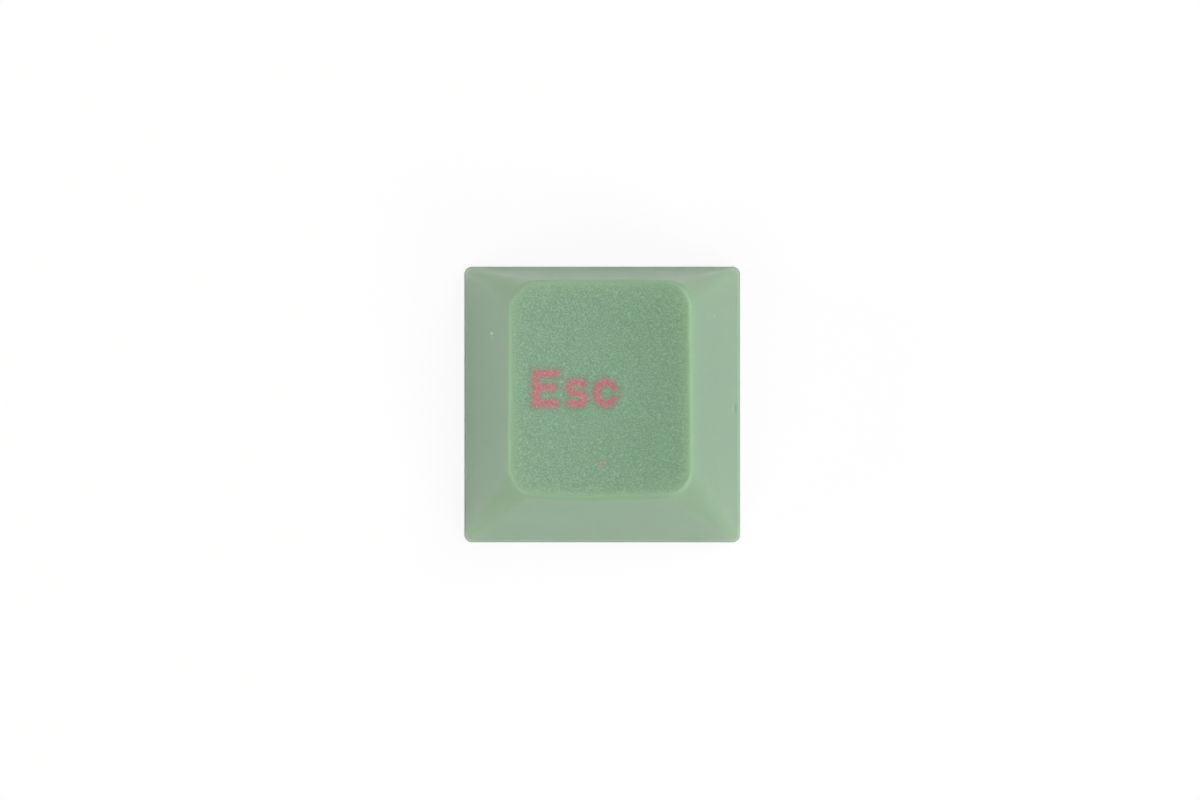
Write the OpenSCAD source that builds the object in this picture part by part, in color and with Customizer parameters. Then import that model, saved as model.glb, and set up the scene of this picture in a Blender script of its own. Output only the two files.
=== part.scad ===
// A one-unit keycap for a mechanical keyboard: the tall key of the back row of a sculpted set.
// It is a single moulding. A hollow shell tapers from a square base to a dished top face that
// sits towards the back, and a round post under the roof holds a cross-shaped socket, which
// pushes onto the stem of a key switch.
// Frame: +Z up, +Y to the back of the keyboard, origin on the post's axis, level with the rim.

/* [Base] */
// Width of the base, across the keyboard
base_w = 18.1; // [17.6:0.1:18.6]
// Length of the base, front to back
base_l = 18.1; // [17.6:0.1:18.6]
// Corner radius of the base
base_r = 0.5; // [0.3:0.1:1]
// Height of the steep band that runs round the base
band_h = 1.2; // [0.5:0.1:2]
// How far that band leans in over its height
band_in = 0.16; // [0:0.02:0.2]
// How far the bend between the band and the walls reaches down and up from where they meet
crease_round = 0.4; // [0.1:0.05:0.4]

/* [Top face] */
// Height of the top face's side edges above the rim, at the post's axis
top_h = 9.4; // [8.4:0.1:11.4]
// Width of the top face, between the corners where it would meet the side walls
top_w = 11.9; // [11:0.1:13]
// Length of a level top, between the corners where it would meet the front and back walls
top_l = 13.8; // [12.5:0.1:14.2]
// Corner radius of the top face
top_r = 1.8; // [1:0.1:2.6]
// How far the middle of the top face lies behind the post's axis
top_shift = 1.1; // [0:0.1:1.4]
// Slope of the top face down towards the typist, in degrees
top_tilt = 1; // [-3:0.5:4]
// Depth of the finger dish, a round trough that runs front to back
dish_d = 0.65; // [0.3:0.05:0.9]
// How far the rounding of the rim reaches over the top face and down the walls
rim_round = 0.3; // [0.2:0.02:0.6]

/* [Walls] */
// Thickness of the side walls, measured level
wall_t = 1.5; // [1.1:0.1:1.7]
// Thickness of the roof under the deepest line of the dish
roof_t = 1.5; // [1.1:0.1:1.8]
// Share of the walls' lean that builds up between base and top, so that they bow outwards
wall_bow = 0.12; // [0:0.02:0.3]
// Corner radius of the hollow
inner_r = 0.8; // [0.4:0.1:1]
// Rounding where the walls meet the roof inside
inner_round = 0.6; // [0.3:0.1:1]

/* [Post] */
// Diameter of the post
post_d = 5.5; // [5.3:0.1:5.7]
// How far the post's end stands back from the rim
post_recess = 0.6; // [0.3:0.1:1]
// Rounding of the edge at the post's end
end_round = 0.12; // [0.06:0.02:0.2]
// Radius of the hollow corner where the post grows out of the roof
root_round = 0.3; // [0.1:0.05:0.5]
// Length of both arms of the cross-shaped socket
socket_l = 4.1; // [4:0.05:4.2]
// Width of the arm that runs across the keyboard
socket_x_w = 1.17; // [1.1:0.01:1.3]
// Width of the arm that runs front to back
socket_y_w = 1.31; // [1.2:0.01:1.4]
// Depth of the socket
socket_depth = 4.2; // [3.8:0.1:4.6]
// Width of the bevel that leads the stem into the socket
lead_in = 0.15; // [0.05:0.05:0.25]

/* [Ribs] */
// Thickness of the four ribs that brace the post
rib_t = 0.8; // [0.6:0.1:1.2]
// How far the ribs hang below the roof
rib_h = 2.2; // [1:0.1:2.6]

/* [Smoothness] */
// Flat steps round each corner
corner_steps = 12; // [6:1:14]
// Flat steps across the dish, along the front and back edges
edge_steps = 16; // [10:2:20]
// Flat steps up the bowed walls
wall_steps = 8; // [5:1:10]
// Flat steps over the bend between the band and the walls
crease_steps = 4; // [2:1:6]
// Flat steps over the rounded rim
rim_steps = 6; // [4:1:8]

/* [Hidden] */
$fn = 96;

cap_colour = [0.52, 0.68, 0.55];
overlap = 0.5;
dish_r = (pow(top_w / 2, 2) + pow(dish_d, 2)) / (2 * dish_d);
roof_z = top_h - dish_d - roof_t;
rib_z = roof_z - rib_h;
wall_h = top_h - band_h;
inner_steps = 6;
round_steps = 4;
cut_rounds = 4;

// A value on the way from a to b, for numbers and points alike
function between(a, b, share) = a + (b - a) * share;

// The front half of a rounded rectangle, from its left side to its right side
function front_half(w, l, r, steps, cuts) =
    let (x = w / 2 - r, y = r - l / 2)
    concat(
        [for (i = [0:steps]) let (a = 180 + 90 * i / steps) [-x + r * cos(a), y + r * sin(a)]],
        [for (i = [1:1:cuts - 1]) [between(-x, x, i / cuts), y - r]],
        [for (i = [0:steps]) let (a = 270 + 90 * i / steps) [x + r * cos(a), y + r * sin(a)]]
    );

// A rounded rectangle, anticlockwise. Its second half mirrors the first, so that point i and
// point len - 1 - i lie straight behind each other.
function outline(w, l, r, shift, steps, cuts) =
    let (front = front_half(w, l, r, steps, cuts), last = len(front) - 1)
    concat(
        [for (p = front) [p.x, shift + p.y]],
        [for (i = [last:-1:0]) [front[i].x, shift - front[i].y]]
    );

// An outline of the outer skin
function outer_outline(w, l, r, shift = 0) = outline(w, l, r, shift, corner_steps, edge_steps);

function at_height(points, z) = [for (p = points) [p.x, p.y, z]];

// Height of the dished top face at a point
function face_z(p) =
    top_h + p.y * tan(top_tilt) - (sqrt(dish_r * dish_r - p.x * p.x) - dish_r + dish_d);

// Share of the way inwards that a wall has gone at a share of the way up. It starts steep.
function inwards(up) = between(up, up * up, wall_bow);

// A point of the bowed wall over a foot, on the way to the level head that it leans towards
function wall_point(foot, head, up) =
    let (level = between(foot, head, inwards(up)))
    [level.x, level.y, between(foot.z, head.z, up)];

// Share of the way up at which the dished top face cuts that wall, found step by step
function cut_share(foot, head, up = 1, rounds = cut_rounds) =
    rounds == 0
        ? up
        : cut_share(foot, head, (face_z(wall_point(foot, head, up)) - band_h) / wall_h, rounds - 1);

// The lines that the outer skin runs through
base_line = at_height(outer_outline(base_w, base_l, base_r), 0);
band_line = at_height(outer_outline(base_w - 2 * band_in, base_l - 2 * band_in, base_r), band_h);
level_head = at_height(outer_outline(top_w, top_l, top_r, top_shift), top_h);
drawn_head = at_height(
    outer_outline(top_w - 2 * rim_round, top_l - 2 * rim_round, top_r - rim_round, top_shift), top_h);
last_point = len(level_head) - 1;
cuts = [for (i = [0:last_point]) cut_share(band_line[i], level_head[i])];

// A point of a soft bend, which heads for a corner and turns away before it
function bend(start, corner, end, over) =
    between(between(start, corner, over), between(corner, end, over), over);

// A ring round the wall, at a share of the way from the bend above the band to the rim's rounding
function wall_ring(share) = [
    for (i = [0:last_point])
        let (up = between(crease_round / wall_h, cuts[i] - rim_round / wall_h, share))
        wall_point(band_line[i], level_head[i], up)
];

// A ring over the bend between the band and the wall
function crease_ring(over) = let (end = wall_ring(0)) [
    for (i = [0:last_point])
        let (start = between(base_line[i], band_line[i], 1 - crease_round / band_h))
        bend(start, band_line[i], end[i], over)
];

// The sharp edge where the wall would meet the top face, and the line inside it where the
// rim's rounding ends
sharp_edge = [for (i = [0:last_point]) wall_point(band_line[i], level_head[i], cuts[i])];
dish_edge = [
    for (i = [0:last_point])
        let (p = sharp_edge[i] + drawn_head[i] - level_head[i])
        [p.x, p.y, face_z(p)]
];

// A ring over the rounded rim, which bends from the wall to the top face
function rim_ring(over) = let (start = wall_ring(1)) [
    for (i = [0:last_point]) bend(start[i], sharp_edge[i], dish_edge[i], over)
];

// The space inside the walls at a height, drawn in by a margin
function inner_ring(z, margin) =
    let (
        lean = inwards(max(0, z - band_h) / wall_h),
        w = between(base_w - 2 * band_in, top_w, lean) - 2 * margin,
        l = between(base_l - 2 * band_in, top_l, lean) - 2 * margin
    )
    at_height(outline(w, l, inner_r, top_shift * lean, inner_steps, 1), z);

// A closed skin over rings that have equally many points, listed from the bottom up. The top
// is closed by strips from front to back, so it may be a trough.
module skin(rings) {
    count = len(rings[0]);
    top = (len(rings) - 1) * count;
    sides = [
        for (k = [0:len(rings) - 2], i = [0:count - 1])
            let (a = k * count + i, b = k * count + (i + 1) % count)
            each [[a, a + count, b + count], [a, b + count, b]]
    ];
    strips = [
        for (i = [0:count / 2 - 2])
            let (front = top + i, back = top + count - 1 - i)
            each [[front, back, back - 1], [front, back - 1, front + 1]]
    ];
    polyhedron(
        points = [for (ring = rings) each ring],
        faces = concat([[for (i = [0:count - 1]) i]], sides, strips),
        convexity = 4
    );
}

// The outside of the shell: the band, the bowed walls, the rounded rim and the dish
module outer_form() {
    skin(concat(
        [base_line],
        [for (i = [0:crease_steps - 1]) crease_ring(i / crease_steps)],
        [for (i = [0:wall_steps]) wall_ring(i / wall_steps)],
        [for (i = [1:rim_steps]) rim_ring(i / rim_steps)]
    ));
}

// The hollow under the roof. Its walls keep the outer form's taper.
module cavity() {
    wall_top = roof_z - inner_round;
    skin(concat(
        [at_height(inner_ring(0, wall_t), -overlap)],
        [inner_ring(band_h, wall_t)],
        [for (i = [1:wall_steps]) inner_ring(between(band_h, wall_top, i / wall_steps), wall_t)],
        [
            for (i = [1:round_steps])
                let (a = 90 * i / round_steps)
                inner_ring(wall_top + inner_round * sin(a), wall_t + inner_round * (1 - cos(a)))
        ]
    ));
}

// A quarter circle from one angle to another, round a centre
function quarter(x, z, r, from, to) = [
    for (i = [0:round_steps])
        let (a = between(from, to, i / round_steps))
        [x + r * cos(a), z + r * sin(a)]
];

// The round post, sunk into the roof: its end edge is rounded and its root flares into the roof
module post() {
    r = post_d / 2;
    rotate_extrude() polygon(concat(
        [[0, post_recess]],
        quarter(r - end_round, post_recess + end_round, end_round, 270, 360),
        quarter(r + root_round, roof_z - root_round, root_round, 180, 90),
        [[r + root_round, roof_z + overlap], [0, roof_z + overlap]]
    ));
}

// A brace between the post and the middle of a wall. It reaches half way into that wall.
// foot and head are the wall's distances from the post's axis at the rib's two heights.
module rib(turn, foot, head) {
    root = post_d / 2 - overlap;
    rotate([90, 0, turn]) linear_extrude(rib_t, center = true) polygon([
        [root, rib_z],
        [foot, rib_z],
        [head, roof_z + overlap],
        [root, roof_z + overlap]
    ]);
}

module ribs() {
    foot_ring = inner_ring(rib_z, wall_t / 2);
    head_ring = inner_ring(roof_z + overlap, wall_t / 2);
    function reach(ring, turn) = max([for (p = ring) p.x * cos(turn) + p.y * sin(turn)]);
    for (turn = [0:90:270]) rib(turn, reach(foot_ring, turn), reach(head_ring, turn));
}

// One arm of the socket, with a bevel round its mouth
module socket_arm(l, w) {
    translate([-l / 2, -w / 2, post_recess]) cube([l, w, socket_depth]);
    translate([0, 0, post_recess]) rotate([90, 0, 90]) linear_extrude(l, center = true) polygon([
        [-w / 2 - lead_in - overlap, -overlap],
        [w / 2 + lead_in + overlap, -overlap],
        [w / 2, lead_in],
        [-w / 2, lead_in]
    ]);
}

module socket() {
    socket_arm(socket_l, socket_x_w);
    rotate(90) socket_arm(socket_l, socket_y_w);
}

module keycap() {
    color(cap_colour) difference() {
        union() {
            difference() {
                outer_form();
                cavity();
            }
            post();
            ribs();
        }
        socket();
    }
}

keycap();
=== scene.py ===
"""A one-unit keycap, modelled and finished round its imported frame, and seen from straight above."""

import logging
import math
from dataclasses import dataclass, field
from enum import Enum
from functools import reduce
from typing import Iterable, Sequence, TypeVar

import bmesh
import bpy
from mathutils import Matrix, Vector
from mathutils.kdtree import KDTree


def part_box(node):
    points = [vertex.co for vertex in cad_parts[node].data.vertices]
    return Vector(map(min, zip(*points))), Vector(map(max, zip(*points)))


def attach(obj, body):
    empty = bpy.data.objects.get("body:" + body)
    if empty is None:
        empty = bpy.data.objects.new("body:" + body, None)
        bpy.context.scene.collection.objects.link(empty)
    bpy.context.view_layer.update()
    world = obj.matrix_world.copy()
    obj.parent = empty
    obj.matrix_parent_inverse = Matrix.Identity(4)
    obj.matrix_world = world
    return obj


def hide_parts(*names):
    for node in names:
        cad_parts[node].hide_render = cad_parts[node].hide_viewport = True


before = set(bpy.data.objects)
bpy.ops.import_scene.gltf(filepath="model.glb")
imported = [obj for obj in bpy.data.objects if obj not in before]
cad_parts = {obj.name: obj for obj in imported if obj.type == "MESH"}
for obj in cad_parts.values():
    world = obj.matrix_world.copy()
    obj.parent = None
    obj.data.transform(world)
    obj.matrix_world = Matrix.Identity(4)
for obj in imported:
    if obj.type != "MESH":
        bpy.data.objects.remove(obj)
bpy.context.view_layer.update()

MM = 0.001
NODE = "keycap"
BODY = "root"
SLOT = "dyed_plastic"
STATION = "station"
STOREY = "storey"
INSET = "inset"
CLOSE = 1e-4
HALF_CORNER = 45
WHITE = (1.0, 1.0, 1.0, 1.0)
SMOOTH_STEP = {"interpolation_type": "SMOOTHSTEP"}
LOG = logging.getLogger("keycap")

Piece = bpy.types.Object
Socket = bpy.types.NodeSocket
Ring = list[Vector]
Number = float | int
Span = tuple[float, float]
Triple = tuple[float, float, float]
Colour = Triple
Place = TypeVar("Place", float, Vector)


def between(a: Place, b: Place, share: float) -> Place:
    """A value on the way from a to b, for numbers and vectors alike."""
    return a + (b - a) * share


def shares(steps: int) -> list[float]:
    """The share of the way at the end of each of some equal steps."""
    return [i / steps for i in range(1, steps + 1)]


def quarter_steps(steps: int) -> list[float]:
    """The angle at the end of each step of a quarter turn, in radians."""
    return [math.pi / 2 * i / steps for i in range(1, steps + 1)]


class Joining(Enum):
    """What one solid does to another."""

    CUT = "DIFFERENCE"
    ADD = "UNION"


class Bench:
    """The modelling operators, with what each of them needs selected first."""

    @staticmethod
    def clear() -> None:
        """Leaves nothing selected, so that an operator acts on new work alone."""
        bpy.ops.object.select_all(action="DESELECT")

    @staticmethod
    def pick(piece: Piece) -> None:
        """Selects one piece alone and makes it active.

        Args:
            piece: The piece that the next operator acts on.
        """
        Bench.clear()
        piece.select_set(True)
        bpy.context.view_layer.objects.active = piece

    @staticmethod
    def named(name: str) -> Piece:
        """Names the piece that an operator has just added, and its mesh.

        Args:
            name: The name of the piece.

        Returns:
            The active object, renamed.
        """
        piece = bpy.context.active_object
        piece.name = name
        piece.data.name = name
        return piece

    @staticmethod
    def edit(piece: Piece) -> bmesh.types.BMesh:
        """Opens a piece in edit mode with nothing selected.

        Args:
            piece: The piece to open.

        Returns:
            The mesh that edit mode works on.
        """
        Bench.pick(piece)
        bpy.ops.object.mode_set(mode="EDIT")
        bpy.ops.mesh.select_all(action="DESELECT")
        return bmesh.from_edit_mesh(piece.data)

    @staticmethod
    def leave() -> None:
        """Goes back to object mode, which writes the edit to the mesh."""
        bpy.ops.object.mode_set(mode="OBJECT")

    @staticmethod
    def settle(piece: Piece) -> None:
        """Puts a piece's place, turn and scale into its mesh."""
        Bench.pick(piece)
        bpy.ops.object.transform_apply(location=True, rotation=True, scale=True)

    @staticmethod
    def select(mesh: bmesh.types.BMesh, elements: Iterable) -> None:
        """Selects these vertices, edges or faces and nothing else.

        Args:
            mesh: The mesh that edit mode works on.
            elements: What to select, all of one kind.
        """
        bpy.ops.mesh.select_all(action="DESELECT")
        chosen = list(elements)
        modes = {bmesh.types.BMVert: "VERT", bmesh.types.BMEdge: "EDGE", bmesh.types.BMFace: "FACE"}
        bpy.ops.mesh.select_mode(type=modes[type(chosen[0])])
        for element in chosen:
            element.select_set(True)
        mesh.select_flush_mode()

    @staticmethod
    def faces_at(mesh: bmesh.types.BMesh, z: float) -> list[bmesh.types.BMFace]:
        """The level faces at a height in millimetres."""
        return [f for f in mesh.faces if all(abs(v.co.z / MM - z) < CLOSE for v in f.verts)]

    @staticmethod
    def extrude(rise: float) -> None:
        """Extrudes the selected faces straight up by some millimetres."""
        bpy.ops.mesh.extrude_region_move(TRANSFORM_OT_translate={"value": (0, 0, rise * MM)})

    @staticmethod
    def resize(x: float, y: float) -> None:
        """Scales what is selected about the Z axis."""
        bpy.ops.transform.resize(value=(x, y, 1), center_override=(0, 0, 0))

    @staticmethod
    def bevel(width: float, steps: int) -> None:
        """Rounds the selected edges by some millimetres."""
        bpy.ops.mesh.bevel(offset=width * MM, segments=steps, affect="EDGES")

    @staticmethod
    def turn_outwards() -> None:
        """Turns the faces of the closed piece in edit mode outwards."""
        bpy.ops.mesh.select_all(action="SELECT")
        bpy.ops.mesh.normals_make_consistent(inside=False)

    @staticmethod
    def apply(piece: Piece, kind: str, **settings: object) -> None:
        """Adds a modifier to a piece and applies it.

        Args:
            piece: The piece to change.
            kind: The modifier's type.
            settings: The modifier's settings by name.
        """
        Bench.pick(piece)
        modifier = piece.modifiers.new(kind.lower(), kind)
        for key, value in settings.items():
            setattr(modifier, key, value)
        bpy.ops.object.modifier_apply(modifier=modifier.name)

    @staticmethod
    def combine(piece: Piece, other: Piece, how: Joining) -> None:
        """Joins another solid to a piece or cuts it away, and uses it up.

        Args:
            piece: The solid that is kept.
            other: The solid that works on it.
            how: What the other solid does.
        """
        Bench.apply(piece, "BOOLEAN", object=other, operation=how.value, solver="EXACT")
        bpy.data.meshes.remove(other.data)

    @staticmethod
    def box(name: str, low: Triple, high: Triple) -> Piece:
        """Adds a box between two corners, given in millimetres.

        Args:
            name: The name of the new piece.
            low: The corner on the left, at the front and at the bottom.
            high: The corner opposite.

        Returns:
            A closed solid.
        """
        middle = [(near + far) / 2 * MM for near, far in zip(low, high)]
        sides = [far - near for near, far in zip(low, high)]
        Bench.clear()
        bpy.ops.mesh.primitive_cube_add(size=MM, location=middle, scale=sides)
        box = Bench.named(name)
        Bench.settle(box)
        return box

    @staticmethod
    def loft(name: str, rings: Sequence[Ring]) -> Piece:
        """Raises an open skin through rings of equally many points, given in millimetres.

        Each ring is extruded from the one before it and moved onto its own points. Two layers of
        whole numbers keep each point's place in its ring and its ring's number. The piece is left
        in edit mode with the last ring selected.

        Args:
            name: The name of the new piece.
            rings: The rings from the bottom up.

        Returns:
            The skin, open at both ends.
        """
        Bench.clear()
        bpy.ops.mesh.primitive_circle_add(vertices=len(rings[0]), radius=MM)
        skin = Bench.named(name)
        mesh = Bench.edit(skin)
        for layer in (STATION, STOREY):
            mesh.verts.layers.int.new(layer)
        for i, vert in enumerate(mesh.verts):
            vert[mesh.verts.layers.int[STATION]] = i
        Bench.select(mesh, mesh.edges)
        for level, ring in enumerate(rings):
            if level:
                bpy.ops.mesh.extrude_edges_move()
                mesh = bmesh.from_edit_mesh(skin.data)
            station, storey = (mesh.verts.layers.int[layer] for layer in (STATION, STOREY))
            for vert in mesh.verts:
                if vert.select:
                    vert.co = ring[vert[station]] * MM
                    vert[storey] = level
        bmesh.update_edit_mesh(skin.data)
        return skin


@dataclass(frozen=True)
class Grid:
    """How finely a skin is divided."""

    corner: int = 10
    across: int = 140
    along: int = 140
    wall: int = 14
    crease: int = 6
    rim: int = 10
    edge: int = 4

    @property
    def columns(self) -> int:
        """Faces of the dish from left to right, half of each corner's included."""
        return self.across + 2 * self.corner


@dataclass(frozen=True)
class CapForm:
    """The keycap's outer form in millimetres, by the rules of its construction.

    The base is the frame's own, and the top is a micron lower than the construction's, so that
    this finer mesh stays inside its box. +Z is up, +Y the back, and the origin is on the post's
    axis, level with the rim.
    """

    base_w: float
    base_l: float
    base_r: float = 0.5
    band_h: float = 1.2
    band_in: float = 0.16
    top_h: float = 9.399
    top_w: float = 11.9
    top_l: float = 13.8
    top_r: float = 1.8
    top_shift: float = 1.1
    top_tilt: float = 1.0
    dish_d: float = 0.65
    rim_round: float = 0.3
    wall_t: float = 1.5
    roof_t: float = 1.5
    wall_bow: float = 0.12
    crease_round: float = 0.4
    edge_round: float = 0.08
    cut_rounds: int = 4

    @classmethod
    def from_frame(cls) -> "CapForm":
        """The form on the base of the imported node."""
        low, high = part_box(NODE)
        return cls(base_w=(high.x - low.x) / MM, base_l=(high.y - low.y) / MM)

    @property
    def dish_r(self) -> float:
        """Radius of the trough."""
        return ((self.top_w / 2) ** 2 + self.dish_d**2) / (2 * self.dish_d)

    @property
    def dish_edge(self) -> float:
        """What the chart of the top holds at the edge of the dish."""
        return 2 * self.rim_round

    @property
    def wall_h(self) -> float:
        """Height of the walls between the band and a level top."""
        return self.top_h - self.band_h

    @property
    def roof_z(self) -> float:
        """Height of the roof's underside."""
        return self.top_h - self.dish_d - self.roof_t

    def face_z(self, x: float, y: float) -> float:
        """Height of the dished top face over a point of the plan."""
        trough = math.sqrt(self.dish_r**2 - x * x) - self.dish_r + self.dish_d
        return self.top_h + y * math.tan(math.radians(self.top_tilt)) - trough

    def inwards(self, up: float) -> float:
        """Share of the way in that a wall has gone at a share of the way up."""
        return between(up, up * up, self.wall_bow)

    def wall_point(self, foot: Vector, head: Vector, up: float) -> Vector:
        """A point of the bowed wall, at a share of the way up from its foot to the level head."""
        level = between(foot, head, self.inwards(up))
        return Vector((level.x, level.y, between(foot.z, head.z, up)))

    def cut_share(self, foot: Vector, head: Vector) -> float:
        """Share of the way up at which the dished face cuts the wall over a foot.

        Args:
            foot: Where the wall starts.
            head: The level head that it leans towards.

        Returns:
            The share, found step by step.
        """
        up = 1.0
        for _ in range(self.cut_rounds):
            point = self.wall_point(foot, head, up)
            up = (self.face_z(point.x, point.y) - self.band_h) / self.wall_h
        return up

    def outline(self, w: float, l: float, r: float, shift: float, z: float, grid: Grid) -> Ring:
        """A rounded rectangle, anticlockwise from the middle of its front left corner.

        Each side starts half way round a corner, at an angle in degrees.

        Args:
            w: Width.
            l: Length.
            r: Corner radius.
            shift: How far its middle lies behind the post's axis.
            z: Height.
            grid: How finely it is divided.

        Returns:
            The points of the ring.
        """
        x, y = w / 2 - r, l / 2 - r
        sides = (
            ((-x, -y), (x, -y), 225, grid.across),
            ((x, -y), (x, y), 315, grid.along),
            ((x, y), (-x, y), 45, grid.across),
            ((-x, y), (-x, -y), 135, grid.along),
        )
        ring: Ring = []
        for (ax, ay), (bx, by), start, cuts in sides:
            for centre_x, centre_y, first in ((ax, ay, start), (bx, by, start + HALF_CORNER)):
                if first != start:
                    nx, ny = math.cos(math.radians(first)), math.sin(math.radians(first))
                    for i in range(cuts):
                        share = i / cuts
                        px, py = between(ax, bx, share) + r * nx, between(ay, by, share) + r * ny
                        ring.append(Vector((px, shift + py, z)))
                for i in range(grid.corner):
                    turn = math.radians(first + HALF_CORNER * i / grid.corner)
                    px, py = centre_x + r * math.cos(turn), centre_y + r * math.sin(turn)
                    ring.append(Vector((px, shift + py, z)))
        return ring

    @staticmethod
    def bend(start: Vector, corner: Vector, end: Vector, steps: int) -> list[Vector]:
        """The points of a soft bend that stays short of a corner, without its start."""
        ways = ((between(start, corner, s), between(corner, end, s), s) for s in shares(steps))
        return [between(*way) for way in ways]

    def section(self, base: Vector, foot: Vector, head: Vector, drawn: Vector, grid: Grid) -> Ring:
        """A cut through the outer skin at one place of the outline, from the flat rim up.

        Args:
            base: The sharp base line there.
            foot: The band's upper edge.
            head: The level head.
            drawn: The level head, drawn in by the rim's rounding.
            grid: How finely the cut is divided.

        Returns:
            The points from the flat rim to the edge of the dish.
        """
        out = (head - drawn) / self.rim_round
        flat = base - out * self.edge_round
        band_start = between(base, foot, self.edge_round / self.band_h)
        band_end = between(base, foot, 1 - self.crease_round / self.band_h)
        cut, low = self.cut_share(foot, head), self.crease_round / self.wall_h
        ups = (between(low, cut - self.rim_round / self.wall_h, s) for s in (0, *shares(grid.wall)))
        wall = [self.wall_point(foot, head, up) for up in ups]
        sharp = self.wall_point(foot, head, cut)
        edge = sharp + drawn - head
        edge.z = self.face_z(edge.x, edge.y)
        return [
            flat, *self.bend(flat, base, band_start, grid.edge),
            band_end, *self.bend(band_end, foot, wall[0], grid.crease),
            *wall[1:], *self.bend(wall[-1], sharp, edge, grid.rim),
        ]

    def sections(self, grid: Grid) -> list[Ring]:
        """The cuts through the outer skin all the way round.

        Args:
            grid: How finely the skin is divided.

        Returns:
            One cut for each point of the outline.
        """
        band_w, band_l = self.base_w - 2 * self.band_in, self.base_l - 2 * self.band_in
        drawn = [side - 2 * self.rim_round for side in (self.top_w, self.top_l)]
        lines = (
            self.outline(self.base_w, self.base_l, self.base_r, 0, 0, grid),
            self.outline(band_w, band_l, self.base_r, 0, self.band_h, grid),
            self.outline(self.top_w, self.top_l, self.top_r, self.top_shift, self.top_h, grid),
            self.outline(*drawn, self.top_r - self.rim_round, self.top_shift, self.top_h, grid),
        )
        return [self.section(*points, grid) for points in zip(*lines)]


@dataclass(frozen=True)
class Grain:
    """The fine spark-eroded grain of the dish, in millimetres."""

    size: float = 0.24
    height: float = 0.009
    margin: float = 0.1
    fade: float = 0.45
    depth: int = 2


@dataclass(frozen=True)
class GateScar:
    """The small pit where the sprue was cut off, low on the right wall, in millimetres."""

    back: float = -0.23
    height: float = 1.75
    half_l: float = 0.36
    half_h: float = 0.42
    depth: float = 0.06
    reach: float = 3.0
    cuts: int = 3

    def share(self, y: float, z: float) -> float:
        """How deep the pit is at a place on the wall, as a share of its full depth."""
        off = Vector(((y - self.back) / self.half_l, (z - self.height) / self.half_h))
        return math.exp(-off.length_squared)


@dataclass
class OuterSkin:
    """The outside of the moulding: band, bowed walls, rounded rim and grained dish."""

    form: CapForm
    grid: Grid = field(default_factory=Grid)
    grain: Grain = field(default_factory=Grain)
    scar: GateScar = field(default_factory=GateScar)

    def build(self) -> Piece:
        """Raises the skin ring by ring, closes the dish and grains it.

        Returns:
            The skin, open at the bottom.
        """
        rings = [list(ring) for ring in zip(*self.form.sections(self.grid))]
        skin = Bench.loft("outer_skin", rings)
        self.close_dish(skin)
        self.press_scar(skin)
        Bench.leave()
        self.raise_grain(skin)
        return skin

    def close_dish(self, skin: Piece) -> None:
        """Fills the last ring with a grid, lays that on the trough and charts the top.

        The chart is an attribute: how far in from the foot of the rim's rounding a point lies,
        in millimetres, with twice the rounding's reach at the edge of the dish.

        Args:
            skin: The skin in edit mode, with its last ring selected.
        """
        mesh = bmesh.from_edit_mesh(skin.data)
        mesh.verts.layers.float.new(INSET)
        station, storey = (mesh.verts.layers.int[layer] for layer in (STATION, STOREY))
        inset = mesh.verts.layers.float[INSET]
        ring = [vert for vert in mesh.verts if vert.select]
        over, reach = self.grid.rim, self.form.dish_edge
        for vert in mesh.verts:
            vert[inset] = reach * max(1 - (ring[0][storey] - vert[storey]) / over, 0)
        edge = KDTree(len(ring))
        for i, vert in enumerate(ring):
            edge.insert(vert.co.to_2d().to_3d(), i)
        edge.balance()
        mesh.select_history.clear()
        mesh.select_history.add(next(vert for vert in ring if vert[station] == 0))
        bpy.ops.mesh.fill_grid(span=self.grid.columns, offset=0)
        mesh = bmesh.from_edit_mesh(skin.data)
        inset = mesh.verts.layers.float[INSET]
        for vert in mesh.verts:
            if vert.select:
                vert[inset] = reach + edge.find(vert.co.to_2d().to_3d())[2] / MM
                x, y, _ = vert.co / MM
                vert.co.z = self.form.face_z(x, y) * MM
        bmesh.update_edit_mesh(skin.data)

    def press_scar(self, skin: Piece) -> None:
        """Divides the right wall round the gate more finely and sinks the pit into it.

        Args:
            skin: The skin in edit mode.
        """
        scar = self.scar
        mesh = bmesh.from_edit_mesh(skin.data)
        near = []
        for face in mesh.faces:
            x, y, z = face.calc_center_median() / MM
            over_y, over_z = abs(y - scar.back) / scar.half_l, abs(z - scar.height) / scar.half_h
            if x > self.form.top_w / 2 and max(over_y, over_z) < scar.reach:
                near.append(face)
        Bench.select(mesh, near)
        bpy.ops.mesh.subdivide(number_cuts=scar.cuts)
        mesh = bmesh.from_edit_mesh(skin.data)
        for vert in mesh.verts:
            if vert.select:
                vert.co.x -= scar.depth * scar.share(vert.co.y / MM, vert.co.z / MM) * MM
        bmesh.update_edit_mesh(skin.data)

    def raise_grain(self, skin: Piece) -> None:
        """Raises the grain inside the dish, fading out towards its edge.

        Args:
            skin: The charted skin.
        """
        grain = self.grain
        group = skin.vertex_groups.new(name="grained")
        start = self.form.dish_edge + grain.margin
        for i, chart in enumerate(skin.data.attributes[INSET].data):
            if chart.value > start:
                group.add([i], min((chart.value - start) / grain.fade, 1), "REPLACE")
        texture = bpy.data.textures.new("grain", "CLOUDS")
        texture.noise_scale = grain.size * MM
        texture.noise_depth = grain.depth
        Bench.apply(
            skin, "DISPLACE", texture=texture, texture_coords="LOCAL", direction="Z",
            strength=grain.height * MM, mid_level=0.5, vertex_group=group.name,
        )
        skin.vertex_groups.clear()
        bpy.data.textures.remove(texture)


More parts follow.
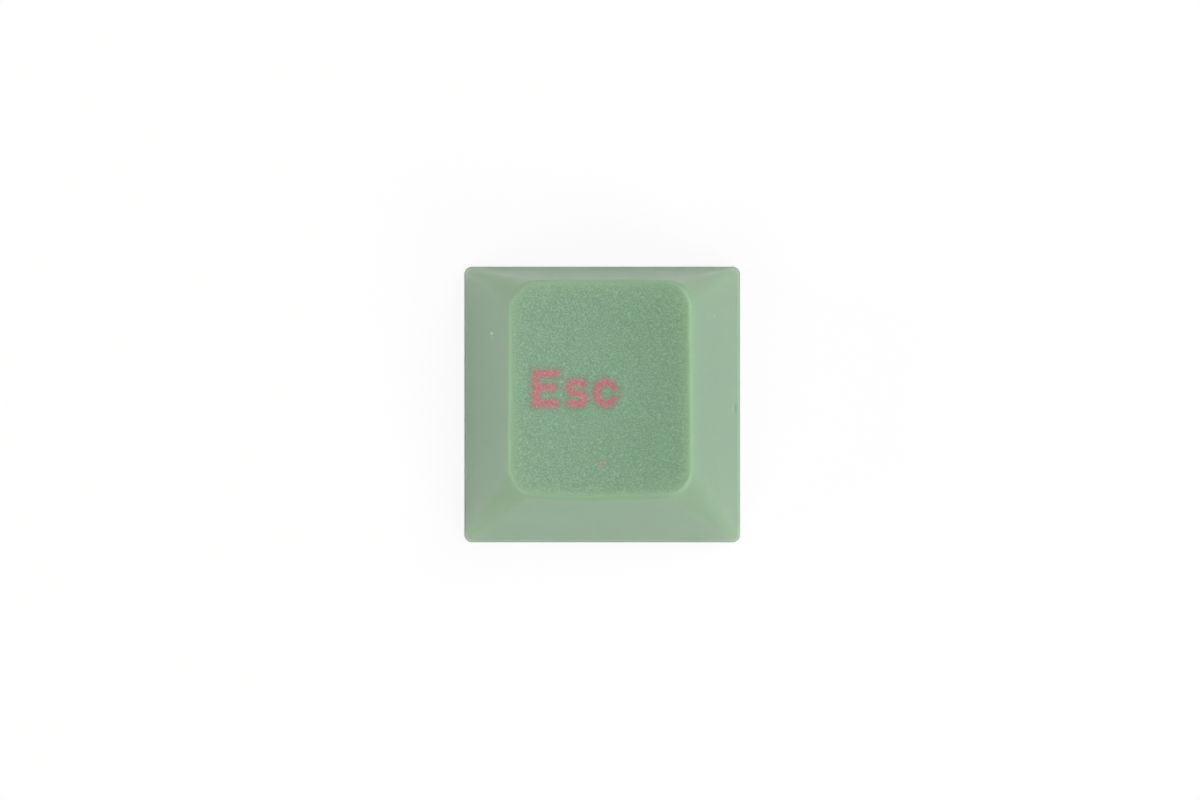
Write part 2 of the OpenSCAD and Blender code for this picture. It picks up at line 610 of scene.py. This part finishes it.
@dataclass
class MouldCore:
    """The hollow side of the moulding, built solid as the mould's core, in millimetres."""

    form: CapForm
    inner_r: float = 0.8
    inner_round: float = 0.6
    post_d: float = 5.5
    post_recess: float = 0.6
    socket_l: float = 4.1
    socket_x_w: float = 1.17
    socket_y_w: float = 1.31
    socket_depth: float = 4.2
    lead_in: float = 0.15
    rib_t: float = 0.8
    rib_h: float = 2.2
    end_round: float = 0.12
    root_round: float = 0.3
    overlap: float = 0.5
    bite: float = 0.01
    wall_steps: int = 10
    round_steps: int = 5
    post_sides: int = 120
    grid: Grid = field(default_factory=lambda: Grid(corner=3, across=1, along=1))

    def build(self) -> Piece:
        """Builds the core, cuts the post and ribs into it and adds the socket.

        Returns:
            The core, open at its mouth.
        """
        core = self.hollow()
        Bench.combine(core, self.post(), Joining.CUT)
        for rib in self.ribs():
            Bench.combine(core, rib, Joining.CUT)
        Bench.combine(core, self.arm(self.socket_l, self.socket_x_w), Joining.ADD)
        Bench.combine(core, self.arm(self.socket_y_w, self.socket_l), Joining.ADD)
        mesh = Bench.edit(core)
        Bench.select(mesh, Bench.faces_at(mesh, 0))
        bpy.ops.mesh.delete(type="ONLY_FACE")
        Bench.leave()
        return core

    def ring(self, z: float, margin: float) -> Ring:
        """An outline of the hollow.

        Args:
            z: Its height.
            margin: How far inside the outer form it runs.

        Returns:
            The points of the ring.
        """
        form = self.form
        lean = form.inwards(max(0.0, z - form.band_h) / form.wall_h)
        w = between(form.base_w - 2 * form.band_in, form.top_w, lean) - 2 * margin
        l = between(form.base_l - 2 * form.band_in, form.top_l, lean) - 2 * margin
        return form.outline(w, l, self.inner_r, form.top_shift * lean, z, self.grid)

    def hollow(self) -> Piece:
        """The plain core: tapered walls with a rounded mouth and a rounded upper edge.

        Returns:
            A closed solid.
        """
        form = self.form
        mouth, soft = form.edge_round, self.inner_round
        wall_top = form.roof_z - soft
        quarter = quarter_steps(self.round_steps)
        cut = [(0.0, -mouth)]
        cut += [(mouth * (1 - math.cos(t)), -mouth * (1 - math.sin(t))) for t in quarter]
        cut += [(between(form.band_h, wall_top, s), 0.0) for s in (0, *shares(self.wall_steps))]
        cut += [(wall_top + soft * math.sin(t), soft * (1 - math.cos(t))) for t in quarter]
        core = Bench.loft("mould_core", [self.ring(z, form.wall_t + off) for z, off in cut])
        bpy.ops.mesh.edge_face_add()
        mesh = bmesh.from_edit_mesh(core.data)
        Bench.select(mesh, [edge for edge in mesh.edges if edge.is_boundary])
        bpy.ops.mesh.edge_face_add()
        Bench.turn_outwards()
        Bench.leave()
        return core

    def flare(self, piece: Piece, half: float, grows: tuple[bool, bool]) -> None:
        """Flares the flat top of a piece into the roof by a hollow quarter round.

        Args:
            piece: A solid in edit mode.
            half: Half its thickness.
            grows: Whether it grows along X and along Y.
        """
        mesh = bmesh.from_edit_mesh(piece.data)
        Bench.select(mesh, Bench.faces_at(mesh, max(vert.co.z for vert in mesh.verts) / MM))
        wide, high = half, 0.0
        for turn in quarter_steps(self.round_steps):
            wider = half + self.root_round * (1 - math.cos(turn))
            higher = self.root_round * math.sin(turn)
            Bench.extrude(higher - high)
            Bench.resize(*(wider / wide if grow else 1 for grow in grows))
            wide, high = wider, higher
        Bench.extrude(self.overlap)

    def post(self) -> Piece:
        """The round post: its end edge is broken and its root flares into the roof.

        Returns:
            A closed solid.
        """
        low, high = self.post_recess, self.form.roof_z - self.root_round + self.bite
        Bench.clear()
        bpy.ops.mesh.primitive_cylinder_add(
            vertices=self.post_sides, radius=self.post_d / 2 * MM, depth=(high - low) * MM,
            location=(0, 0, (low + high) / 2 * MM),
        )
        post = Bench.named("post")
        Bench.settle(post)
        mesh = Bench.edit(post)
        Bench.select(mesh, [edge for face in Bench.faces_at(mesh, low) for edge in face.edges])
        Bench.bevel(self.end_round, self.round_steps)
        self.flare(post, self.post_d / 2, (True, True))
        Bench.leave()
        return post

    def ribs(self) -> list[Piece]:
        """The four ribs that brace the post: one is modelled, and the others are its copies.

        Returns:
            Four closed solids, each from inside the post to half way through a wall.
        """
        form = self.form
        start = self.post_d / 2 - self.overlap
        end = form.base_w / 2 - form.wall_t
        low, high = form.roof_z - self.rib_h, form.roof_z - self.root_round + self.bite
        half = self.rib_t / 2
        rib = Bench.box("rib", (start, -half, low), (end, half, high))
        mesh = Bench.edit(rib)
        foot = Bench.faces_at(mesh, low)[0]
        Bench.select(mesh, [e for e in foot.edges if abs(e.verts[0].co.x - e.verts[1].co.x) > MM])
        Bench.bevel(self.end_round, self.round_steps)
        self.flare(rib, half, (False, True))
        Bench.leave()
        ribs = [rib]
        for turn in (90, 180, 270):
            Bench.pick(rib)
            bpy.ops.object.duplicate(linked=False)
            copy = Bench.named(f"rib_{turn}")
            copy.rotation_euler.z = math.radians(turn)
            Bench.settle(copy)
            ribs.append(copy)
        return ribs

    def arm(self, x_size: float, y_size: float) -> Piece:
        """One arm of the cross-shaped socket, with a bevel along both sides of its mouth.

        Args:
            x_size: Its size across the keyboard.
            y_size: Its size from front to back.

        Returns:
            A closed solid that reaches out of the post's end.
        """
        x, y = x_size / 2, y_size / 2
        low, high = self.post_recess + self.lead_in, self.post_recess + self.socket_depth
        arm = Bench.box("socket_arm", (-x, -y, low), (x, y, high))
        mesh = Bench.edit(arm)
        Bench.select(mesh, Bench.faces_at(mesh, low))
        drop = self.lead_in + self.end_round
        Bench.extrude(-drop)
        if x_size < y_size:
            Bench.resize(1 + 2 * drop / x_size, 1)
        else:
            Bench.resize(1, 1 + 2 * drop / y_size)
        Bench.leave()
        return arm


@dataclass
class Moulding:
    """The keycap itself: one moulding, from its outer skin and its hollow side.

    An edge stays sharp past an angle in degrees, and points merge within a part of a millimetre.
    """

    form: CapForm
    sharp: float = 30.0
    merge: float = 0.0005

    def build(self) -> Piece:
        """Joins the two sides along the flat rim and closes the moulding.

        Returns:
            The finished piece.
        """
        skin = OuterSkin(self.form).build()
        core = MouldCore(self.form).build()
        Bench.pick(skin)
        core.select_set(True)
        bpy.ops.object.join()
        cap = Bench.named("keycap_moulding")
        mesh = Bench.edit(cap)
        Bench.select(mesh, [edge for edge in mesh.edges if edge.is_boundary])
        bpy.ops.mesh.fill(use_beauty=True)
        bpy.ops.mesh.select_all(action="SELECT")
        bpy.ops.mesh.remove_doubles(threshold=self.merge * MM)
        Bench.turn_outwards()
        Bench.leave()
        for layer in (STATION, STOREY):
            cap.data.attributes.remove(cap.data.attributes[layer])
        Bench.pick(cap)
        bpy.ops.object.shade_smooth_by_angle(angle=math.radians(self.sharp))
        return cap


class Graph:
    """A node tree, to which one method adds any node.

    The Mix node's colour sockets share their names with others, so they go by their numbers.
    """

    MIX_SHARE, MIX_BELOW, MIX_ABOVE, MIX_RESULT = 0, 6, 7, 2

    def __init__(self, tree: bpy.types.NodeTree) -> None:
        """Empties the tree."""
        self.tree = tree
        tree.nodes.clear()

    def node(self, kind: str, settings: dict | None = None,
             sockets: dict | None = None) -> bpy.types.Node:
        """Adds a node, sets it up and feeds its sockets.

        Args:
            kind: The node's type.
            settings: Its settings by name, set before the sockets.
            sockets: What each socket holds, by name or number: a value or a link.

        Returns:
            The new node.
        """
        node = self.tree.nodes.new(kind)
        for key, value in (settings or {}).items():
            setattr(node, key, value)
        for key, value in (sockets or {}).items():
            held = value.socket if isinstance(value, Value) else value
            if isinstance(held, Socket):
                self.tree.links.new(held, node.inputs[key])
            else:
                node.inputs[key].default_value = held
        return node

    def value(self, kind: str, output: str | int, settings: dict | None = None,
              sockets: dict | None = None) -> "Value":
        """Adds a node, as above, and wraps one of its outputs as a number."""
        return Value(self, self.node(kind, settings, sockets).outputs[output])

    def blend(self, share: "Value", below: Colour | Socket, above: Colour | Socket) -> Socket:
        """Mixes two colours.

        Args:
            share: How much of the upper one shows.
            below: The lower colour, as a value or a link.
            above: The upper colour, as a value or a link.

        Returns:
            The mixed colour.
        """
        sides = [(*side, 1.0) if isinstance(side, tuple) else side for side in (below, above)]
        sockets = dict(zip((self.MIX_SHARE, self.MIX_BELOW, self.MIX_ABOVE), (share, *sides)))
        return self.node("ShaderNodeMix", {"data_type": "RGBA"}, sockets).outputs[self.MIX_RESULT]


@dataclass(frozen=True)
class Value:
    """A number that varies over a surface, so that shader maths reads as plain arithmetic."""

    graph: Graph
    socket: Socket

    def maths(self, operation: str, *others: "Value | Number") -> "Value":
        """What a Math node makes of this number and others."""
        sockets = dict(enumerate((self, *others)))
        return self.graph.value("ShaderNodeMath", 0, {"operation": operation}, sockets)

    def __add__(self, other: "Value | Number") -> "Value":
        """This number plus another."""
        return self.maths("ADD", other)

    __radd__ = __add__

    def __mul__(self, other: "Value | Number") -> "Value":
        """This number times another."""
        return self.maths("MULTIPLY", other)

    __rmul__ = __mul__

    def __sub__(self, other: "Value | Number") -> "Value":
        """This number less another."""
        return self.maths("SUBTRACT", other)

    def __rsub__(self, other: Number) -> "Value":
        """A plain number less this one."""
        return self.maths("MULTIPLY_ADD", -1.0, other)

    def __abs__(self) -> "Value":
        """This number without its sign."""
        return self.maths("ABSOLUTE")

    def least(self, other: "Value | Number") -> "Value":
        """The smaller of two numbers."""
        return self.maths("MINIMUM", other)

    def most(self, other: "Value | Number") -> "Value":
        """The larger of two numbers."""
        return self.maths("MAXIMUM", other)

    def length(self, other: "Value") -> "Value":
        """The long side of a right triangle with these two short ones."""
        return (self * self + other * other).maths("SQRT")

    def meet(self, other: "Value", soft: float) -> "Value":
        """The distance to what two distance fields have in common, with its corners rounded."""
        here, there = self + soft, other + soft
        return here.most(0).length(there.most(0)) + here.most(there).least(0) - soft

    def rise(self, low: float, high: float) -> "Value":
        """A smooth step from 0 at low to 1 at high, which may be the smaller of the two."""
        sockets = {"Value": self, "From Min": low, "From Max": high}
        return self.graph.value("ShaderNodeMapRange", 0, SMOOTH_STEP, sockets)


@dataclass(frozen=True)
class Surface:
    """The places on a surface, in millimetres, and the masks of its zones, from 0 to 1."""

    graph: Graph
    place: Socket
    x: Value
    y: Value
    dish: Value
    grained: Value
    rim: Value

    def noise(self, scale: float, detail: float = 2.0) -> Value:
        """A soft noise from 0 to 1, by its features to a millimetre and its finer detail."""
        sockets = {"Vector": self.place, "Scale": scale, "Detail": detail}
        return self.graph.value("ShaderNodeTexNoise", 0, sockets=sockets)


@dataclass(frozen=True)
class Bar:
    """A straight stroke, as its box in millimetres."""

    left: float
    right: float
    low: float
    high: float
    soft: float

    def field(self, surface: Surface) -> Value:
        """The distance to the stroke, negative inside it.

        Args:
            surface: The surface that it is dyed into.

        Returns:
            The distance in millimetres.
        """
        over_x = abs(surface.x - (self.left + self.right) / 2) - (self.right - self.left) / 2
        over_y = abs(surface.y - (self.low + self.high) / 2) - (self.high - self.low) / 2
        return over_x.meet(over_y, self.soft)


@dataclass(frozen=True)
class Bow:
    """A curved stroke: a ring, drawn out sideways or in height, with a gap cut into its right side.

    The gap lies between two lines, each given by its angle and both as far from the middle.
    """

    x: float
    y: float
    radius: float
    weight: float
    soft: float
    cut_to: float
    cut_from: float = -90.0
    gap: float = 0.0
    wider: float = 0.0
    taller: float = 0.0
    flip: bool = False

    def field(self, surface: Surface) -> Value:
        """The distance to the stroke, negative inside it.

        Args:
            surface: The surface that it is dyed into.

        Returns:
            The distance in millimetres.
        """
        side = -1 if self.flip else 1
        across, up = (surface.x - self.x) * side, (surface.y - self.y) * side
        beyond, over = (abs(across) - self.wider).most(0), (abs(up) - self.taller).most(0)
        ring = abs(beyond.length(over) - self.radius) - self.weight / 2
        end = across - self.wider
        high, low = math.radians(self.cut_to), math.radians(self.cut_from)
        above = end * math.sin(high) - up * math.cos(high) + self.gap
        below = up * math.cos(low) - end * math.sin(low) + self.gap
        return ring.meet(above.least(below).least(end), self.soft)


@dataclass(frozen=True)
class Legend:
    """The word that says what the key does, in plain strokes, dyed into the dish.

    Sizes are in millimetres, from the post's axis.
    """

    left: float = -4.45
    base: float = -0.16
    cap_h: float = 2.39
    small_h: float = 1.81
    weight: float = 0.45
    stem: float = 0.49
    soft_corner: float = 0.17
    capital_w: float = 1.68
    middle: float = 1.1
    middle_short: float = 0.19
    s_left: float = -2.32
    s_w: float = 1.42
    s_end: float = 15.0
    c_left: float = -0.52
    c_w: float = 1.54
    c_end: float = -20.0
    c_gap: float = 0.4
    soft: float = 0.09
    halo: float = 0.5
    halo_share: float = 0.38
    halo_colour: Colour = (0.285, 0.15, 0.14)
    colour: Colour = (0.50, 0.187, 0.177)

    def strokes(self) -> list[Bar | Bow]:
        """The strokes of the three letters.

        Returns:
            The strokes, from left to right.
        """
        right, top = self.left + self.capital_w, self.base + self.cap_h
        w, soft = self.weight, self.soft_corner
        arm = self.middle - w / 2
        turn = (self.small_h - w) / 4
        half = self.s_w / 2
        s_x, s_y = self.s_left + half, self.base + self.small_h / 2
        loop = (self.c_w - w) / 2
        c_x, c_tall = self.c_left + self.c_w / 2, (self.small_h - self.c_w) / 2
        return [
            Bar(self.left, self.left + self.stem, self.base, top, soft),
            Bar(self.left, right, self.base, self.base + w, soft),
            Bar(self.left, right, top - w, top, soft),
            Bar(self.left, right - self.middle_short, arm, arm + w, soft),
            Bow(s_x, s_y + turn, turn, w, soft, self.s_end, wider=half - turn - w / 2),
            Bow(s_x, s_y - turn, turn, w, soft, self.s_end, wider=half - turn - w / 2, flip=True),
            Bow(c_x, s_y, loop, w, soft, self.c_end, -self.c_end, self.c_gap, taller=c_tall),
        ]

    def field(self, surface: Surface) -> Value:
        """The distance to the nearest stroke, negative inside it."""
        return reduce(Value.least, (stroke.field(surface) for stroke in self.strokes()))


@dataclass(frozen=True)
class Mark:
    """A small soft spot on the plastic, in millimetres.

    On a steep wall it is drawn out in height, because heights count less in its distances.
    """

    place: Triple
    radius: float
    colour: Colour
    share: float
    counts: Triple = (1.0, 1.0, 0.35)

    def cover(self, surface: Surface) -> Value:
        """How much of the mark shows.

        Args:
            surface: The surface that it is on.

        Returns:
            The share of the mark's colour.
        """
        kind, graph = "ShaderNodeVectorMath", surface.graph
        sockets = {0: surface.place, 1: self.counts}
        here = graph.node(kind, {"operation": "MULTIPLY"}, sockets).outputs[0]
        middle = [part * count for part, count in zip(self.place, self.counts)]
        off = graph.value(kind, "Value", {"operation": "DISTANCE"}, {0: here, 1: middle})
        return off.rise(self.radius, 0) * self.share


@dataclass(frozen=True)
class DyedPlastic:
    """Matt dyed plastic: grained in the dish, satin on the rim and the walls.

    The rim's colour is a painted glow: lighter than the walls', for light coming through its thin
    edge. The dish's own colour is the one before the painted shade in the pits of its grain and
    the painted glints on its crests change it. A fade holds the distances inside the edge of the
    dish, in millimetres, at which the dish's finish starts and is complete. A negative one lies
    outside the edge.
    """

    form: CapForm
    legend: Legend = Legend()
    colour: Colour = (0.215, 0.349, 0.220)
    deep: Colour = (0.210, 0.342, 0.215)
    mottle_scale: float = 1.3
    mottle_span: Span = (0.35, 0.65)
    # painted glow: the rim is coloured lighter than the walls, for light coming through its thin edge
    painted_rim_glow: Colour = (0.223, 0.359, 0.227)
    dish_colour: Colour = (0.219, 0.377, 0.227)
    # painted shade in the grain's pits and painted glints on its crests
    pit_shade_colour: Colour = (0.0, 0.0, 0.0)
    crest_glint_colour: Colour = (0.8, 0.85, 0.85)
    dish_rough: float = 0.13
    rim_rough: float = 0.35
    wall_rough: float = 0.3
    swing_scale: float = 2.6
    swing_depth: float = 0.04
    grain_scale: float = 9.5
    grain_detail: float = 6.0
    grain_depth: float = 0.065
    # how much painted shade darkens the pits and how much painted glint pales the crests
    pit_shade: float = 0.24
    pit_shade_span: Span = (0.7, 0.3)
    crest_glints: float = 0.06
    crest_glint_span: Span = (0.45, 0.75)
    dye_fade: Span = (-0.4, 0.5)
    grain_fade: Span = (-0.4, 0.1)
    ior: float = 1.5
    glow: float = 1.0
    glow_reach: float = 4.0
    glow_tint: Colour = (1.0, 0.7, 0.5)
    marks: tuple[Mark, ...] = (
        Mark((-7.12, 4.62, 6.4), 0.16, (0.66, 0.7, 0.62), 0.9),
        Mark((-7.12, 4.3, 6.4), 0.28, (0.4, 0.5, 0.4), 0.25),
        Mark((7.32, 5.78, 5.6), 0.14, (0.62, 0.68, 0.62), 0.4),
        Mark((0.0, -3.78, 8.7), 0.55, (0.5, 0.25, 0.26), 0.28),
        Mark((-0.12, 7.92, 9.1), 0.1, (0.6, 0.7, 0.6), 0.5),
        # painted shade: a dark soft spot over the gate's pit on the right wall
        Mark((8.76, -0.23, 1.75), 0.42, (0.08, 0.14, 0.09), 0.22, counts=(1.0, 1.0, 0.5)),
    )

    def dress(self, piece: Piece) -> None:
        """Makes the plastic and gives it to a piece.

        Args:
            piece: The piece that is made of it.
        """
        material = bpy.data.materials.new(SLOT)
        material.use_nodes = True
        graph = Graph(material.node_tree)
        surface = self.survey(graph)
        grain = surface.noise(self.grain_scale, self.grain_detail)
        shader = graph.node("ShaderNodeBsdfPrincipled", sockets={
            "Base Color": self.with_painted_grain_light(surface, grain),
            "Roughness": self.roughness(surface),
            "Normal": self.relief(surface, grain),
            "IOR": self.ior,
            "Subsurface Weight": self.glow,
            "Subsurface Radius": self.glow_tint,
            "Subsurface Scale": self.glow_reach * MM,
        })
        graph.node("ShaderNodeOutputMaterial", sockets={"Surface": shader.outputs[0]})
        piece.data.materials.clear()
        piece.data.materials.append(material)

    def survey(self, graph: Graph) -> Surface:
        """Reads the place and the chart of each point and marks out the dish and the rim.

        Args:
            graph: The material's tree.

        Returns:
            The surface that the finish follows.
        """
        place = graph.value("ShaderNodeTexCoord", "Object").socket
        place = graph.value(
            "ShaderNodeVectorMath", "Vector", {"operation": "SCALE"}, {0: place, "Scale": 1 / MM}
        ).socket
        axes = graph.node("ShaderNodeSeparateXYZ", sockets={0: place})
        x, y = (Value(graph, axes.outputs[i]) for i in range(2))
        inset = graph.value("ShaderNodeAttribute", "Fac", {"attribute_name": INSET})
        edge = self.form.dish_edge
        dish, grained = (
            inset.rise(edge + start, edge + end) for start, end in (self.dye_fade, self.grain_fade)
        )
        rim = inset.rise(0, self.form.rim_round) * (1 - dish)
        return Surface(graph, place, x, y, dish, grained, rim)

    def dyes_and_painted_light(self, surface: Surface) -> Socket:
        """The colour without the grain: the slightly uneven plastic, a painted glow on the rim, its
        marks, one of them painted shade in the gate's pit, and the legend.

        Args:
            surface: The surface that the colours follow.

        Returns:
            The colour.
        """
        blend, legend = surface.graph.blend, self.legend
        mottle = surface.noise(self.mottle_scale).rise(*self.mottle_span)
        body = blend(mottle, self.deep, self.colour)
        # painted glow on the rim
        body = blend(surface.rim, body, self.painted_rim_glow)
        body = blend(surface.dish, body, self.dish_colour)
        # the marks, one of them painted shade in the gate's pit
        for mark in self.marks:
            body = blend(mark.cover(surface), body, mark.colour)
        off = legend.field(surface)
        halo = off.rise(legend.halo, 0) * surface.dish * legend.halo_share
        body = blend(halo, body, legend.halo_colour)
        ink = off.rise(legend.soft, -legend.soft) * surface.dish
        return blend(ink, body, legend.colour)

    def with_painted_grain_light(self, surface: Surface, grain: Value) -> Socket:
        """The whole colour: in the dish, painted shade darkens the grain's pits and painted glints
        pale its crests.

        Args:
            surface: The surface that the colours follow.
            grain: The height of the grain, from 0 to 1.

        Returns:
            The colour.
        """
        blend = surface.graph.blend
        # painted shade in the pits and painted glints on the crests
        pit_shade = grain.rise(*self.pit_shade_span) * surface.dish * self.pit_shade
        crest_glints = grain.rise(*self.crest_glint_span) * surface.dish * self.crest_glints
        return blend(crest_glints, blend(pit_shade, self.dyes_and_painted_light(surface), self.pit_shade_colour), self.crest_glint_colour)

    def roughness(self, surface: Surface) -> Value:
        """The roughness of the dish, the rim and the walls, a little uneven all over.

        Args:
            surface: The surface that the grain follows.

        Returns:
            The roughness.
        """
        swing = surface.noise(self.swing_scale) * self.swing_depth
        floor = self.wall_rough - self.swing_depth / 2
        gloss = surface.grained * surface.grained * (self.dish_rough - self.wall_rough)
        return gloss + surface.rim * (self.rim_rough - self.wall_rough) + swing + floor

    def relief(self, surface: Surface, grain: Value) -> Socket:
        """The normal, bent by the fine spark-eroded grain of the dish."""
        sockets = {"Distance": MM, "Height": grain * surface.grained * self.grain_depth}
        return surface.graph.node("ShaderNodeBump", sockets=sockets).outputs[0]


@dataclass(frozen=True)
class Camera:
    """The camera almost straight above, as in the photograph, with its sizes in millimetres."""

    place: Triple = (5.35, 0.295, 600.0)
    target: Triple = (-0.144, 0.295, 0.0)
    lens: float = 274.5
    sensor: float = 36.0
    near: float = 10.0

    def set_up(self) -> None:
        """Adds the camera and makes it the scene's own."""
        Bench.clear()
        bpy.ops.object.camera_add(location=Vector(self.place) * MM)
        camera = bpy.context.active_object
        aim = (Vector(self.target) - Vector(self.place)).normalized()
        camera.rotation_euler = (math.asin(aim.y), math.atan2(-aim.x, -aim.z), 0)
        camera.data.lens = self.lens
        camera.data.sensor_width = self.sensor
        camera.data.clip_start = self.near * MM
        bpy.context.scene.camera = camera


@dataclass(frozen=True)
class Lamp:
    """A large soft lamp that faces the keycap, with its sizes in metres.

    Its tilt is how far it stands off from straight above, and its turn is how far round it stands
    from the right, anticlockwise, both in degrees.
    """

    name: str
    tilt: float
    turn: float
    power: float
    size: float = 0.3
    colour: Colour = (1.0, 1.0, 1.0)
    distance: float = 0.7

    def hang(self) -> None:
        """Adds the lamp."""
        tilt, turn = math.radians(self.tilt), math.radians(self.turn)
        across, up = math.sin(tilt) * self.distance, math.cos(tilt) * self.distance
        place = Vector((across * math.cos(turn), across * math.sin(turn), up))
        Bench.clear()
        bpy.ops.object.light_add(type="AREA", location=place)
        lamp = bpy.context.active_object
        lamp.name = self.name
        lamp.rotation_euler = (-place).to_track_quat("-Z", "Y").to_euler()
        lamp.data.size = self.size
        lamp.data.energy = self.power
        lamp.data.color = self.colour


@dataclass(frozen=True)
class Studio:
    """The plain pale floor, in metres, the even light all round and the ring of soft lamps."""

    floor_half: float = 1.5
    floor_colour: Colour = (0.87, 0.85, 0.82)
    floor_plain: float = 0.88
    floor_mirrored: float = 0.03
    sky: float = 0.15
    sky_mirrored: float = 0.06
    lamps: tuple[Lamp, ...] = (
        Lamp("key_lamp", 25, 0, 0.88, colour=(0.7, 0.9, 1.0)),
        Lamp("high_front_lamp", 25, 315, 0.29),
        Lamp("front_right_lamp", 38, 315, 0.61),
        Lamp("back_right_lamp", 38, 45, 1.95),
        Lamp("front_left_lamp", 38, 225, 1.26),
        Lamp("low_front_lamp", 52, 315, 1.05),
        Lamp("left_lamp", 66, 180, 1.37),
        Lamp("low_right_lamp", 80, 0, 0.67),
    )

    def build(self) -> Piece:
        """Sets up the floor, the world and the lamps.

        Returns:
            The floor.
        """
        for lamp in self.lamps:
            lamp.hang()
        self.light_world()
        bpy.context.scene.view_settings.view_transform = "Standard"
        return self.floor()

    @staticmethod
    def seen(graph: Graph, straight: float, mirrored: float) -> Value:
        """A share for the rays that show the background, and none for those that light it.

        Args:
            graph: The tree of the floor or the world.
            straight: The share for the camera's own rays.
            mirrored: The share for rays that are reflected or that pass through glass.

        Returns:
            The share.
        """
        path = graph.node("ShaderNodeLightPath")
        kinds = ("Camera", "Glossy", "Transmission")
        camera, glossy, through = (Value(graph, path.outputs[f"Is {kind} Ray"]) for kind in kinds)
        return (camera * straight).most(glossy.most(through) * mirrored)

    def light_world(self) -> None:
        """Makes the world an even light, and white where the camera sees it."""
        world = bpy.data.worlds.new("studio")
        world.use_nodes = True
        graph = Graph(world.node_tree)
        strength = Studio.seen(graph, 1, self.sky_mirrored) * (1 - self.sky) + self.sky
        sky = graph.node("ShaderNodeBackground", sockets={"Color": WHITE, "Strength": strength})
        graph.node("ShaderNodeOutputWorld", sockets={"Surface": sky.outputs[0]})
        bpy.context.scene.world = world

    def floor(self) -> Piece:
        """The floor: pale card that the camera sees as nearly plain white.

        Returns:
            The floor, just under the rim.
        """
        Bench.clear()
        bpy.ops.mesh.primitive_grid_add(
            x_subdivisions=2, y_subdivisions=2, size=2 * self.floor_half, location=(0, 0, 0)
        )
        floor = Bench.named("studio_floor")
        material = bpy.data.materials.new("pale_card")
        material.use_nodes = True
        graph = Graph(material.node_tree)
        card = graph.node("ShaderNodeBsdfDiffuse", sockets={"Color": (*self.floor_colour, 1)})
        plain = graph.node("ShaderNodeEmission", sockets={"Color": WHITE, "Strength": 1.0})
        share = Studio.seen(graph, self.floor_plain, self.floor_mirrored)
        sockets = {0: share, 1: card.outputs[0], 2: plain.outputs[0]}
        mixed = graph.node("ShaderNodeMixShader", sockets=sockets)
        graph.node("ShaderNodeOutputMaterial", sockets={"Surface": mixed.outputs[0]})
        floor.data.materials.append(material)
        return floor


def main() -> None:
    """Builds the keycap and its studio, and reports each piece."""
    logging.basicConfig(level=logging.INFO, format="%(name)s: %(message)s")
    form = CapForm.from_frame()
    cap = Moulding(form).build()
    DyedPlastic(form).dress(cap)
    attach(cap, BODY)
    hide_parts(NODE)
    LOG.info("%s: %d faces", cap.name, len(cap.data.polygons))
    Studio().build()
    Camera().set_up()


if __name__ == "__main__":
    main()
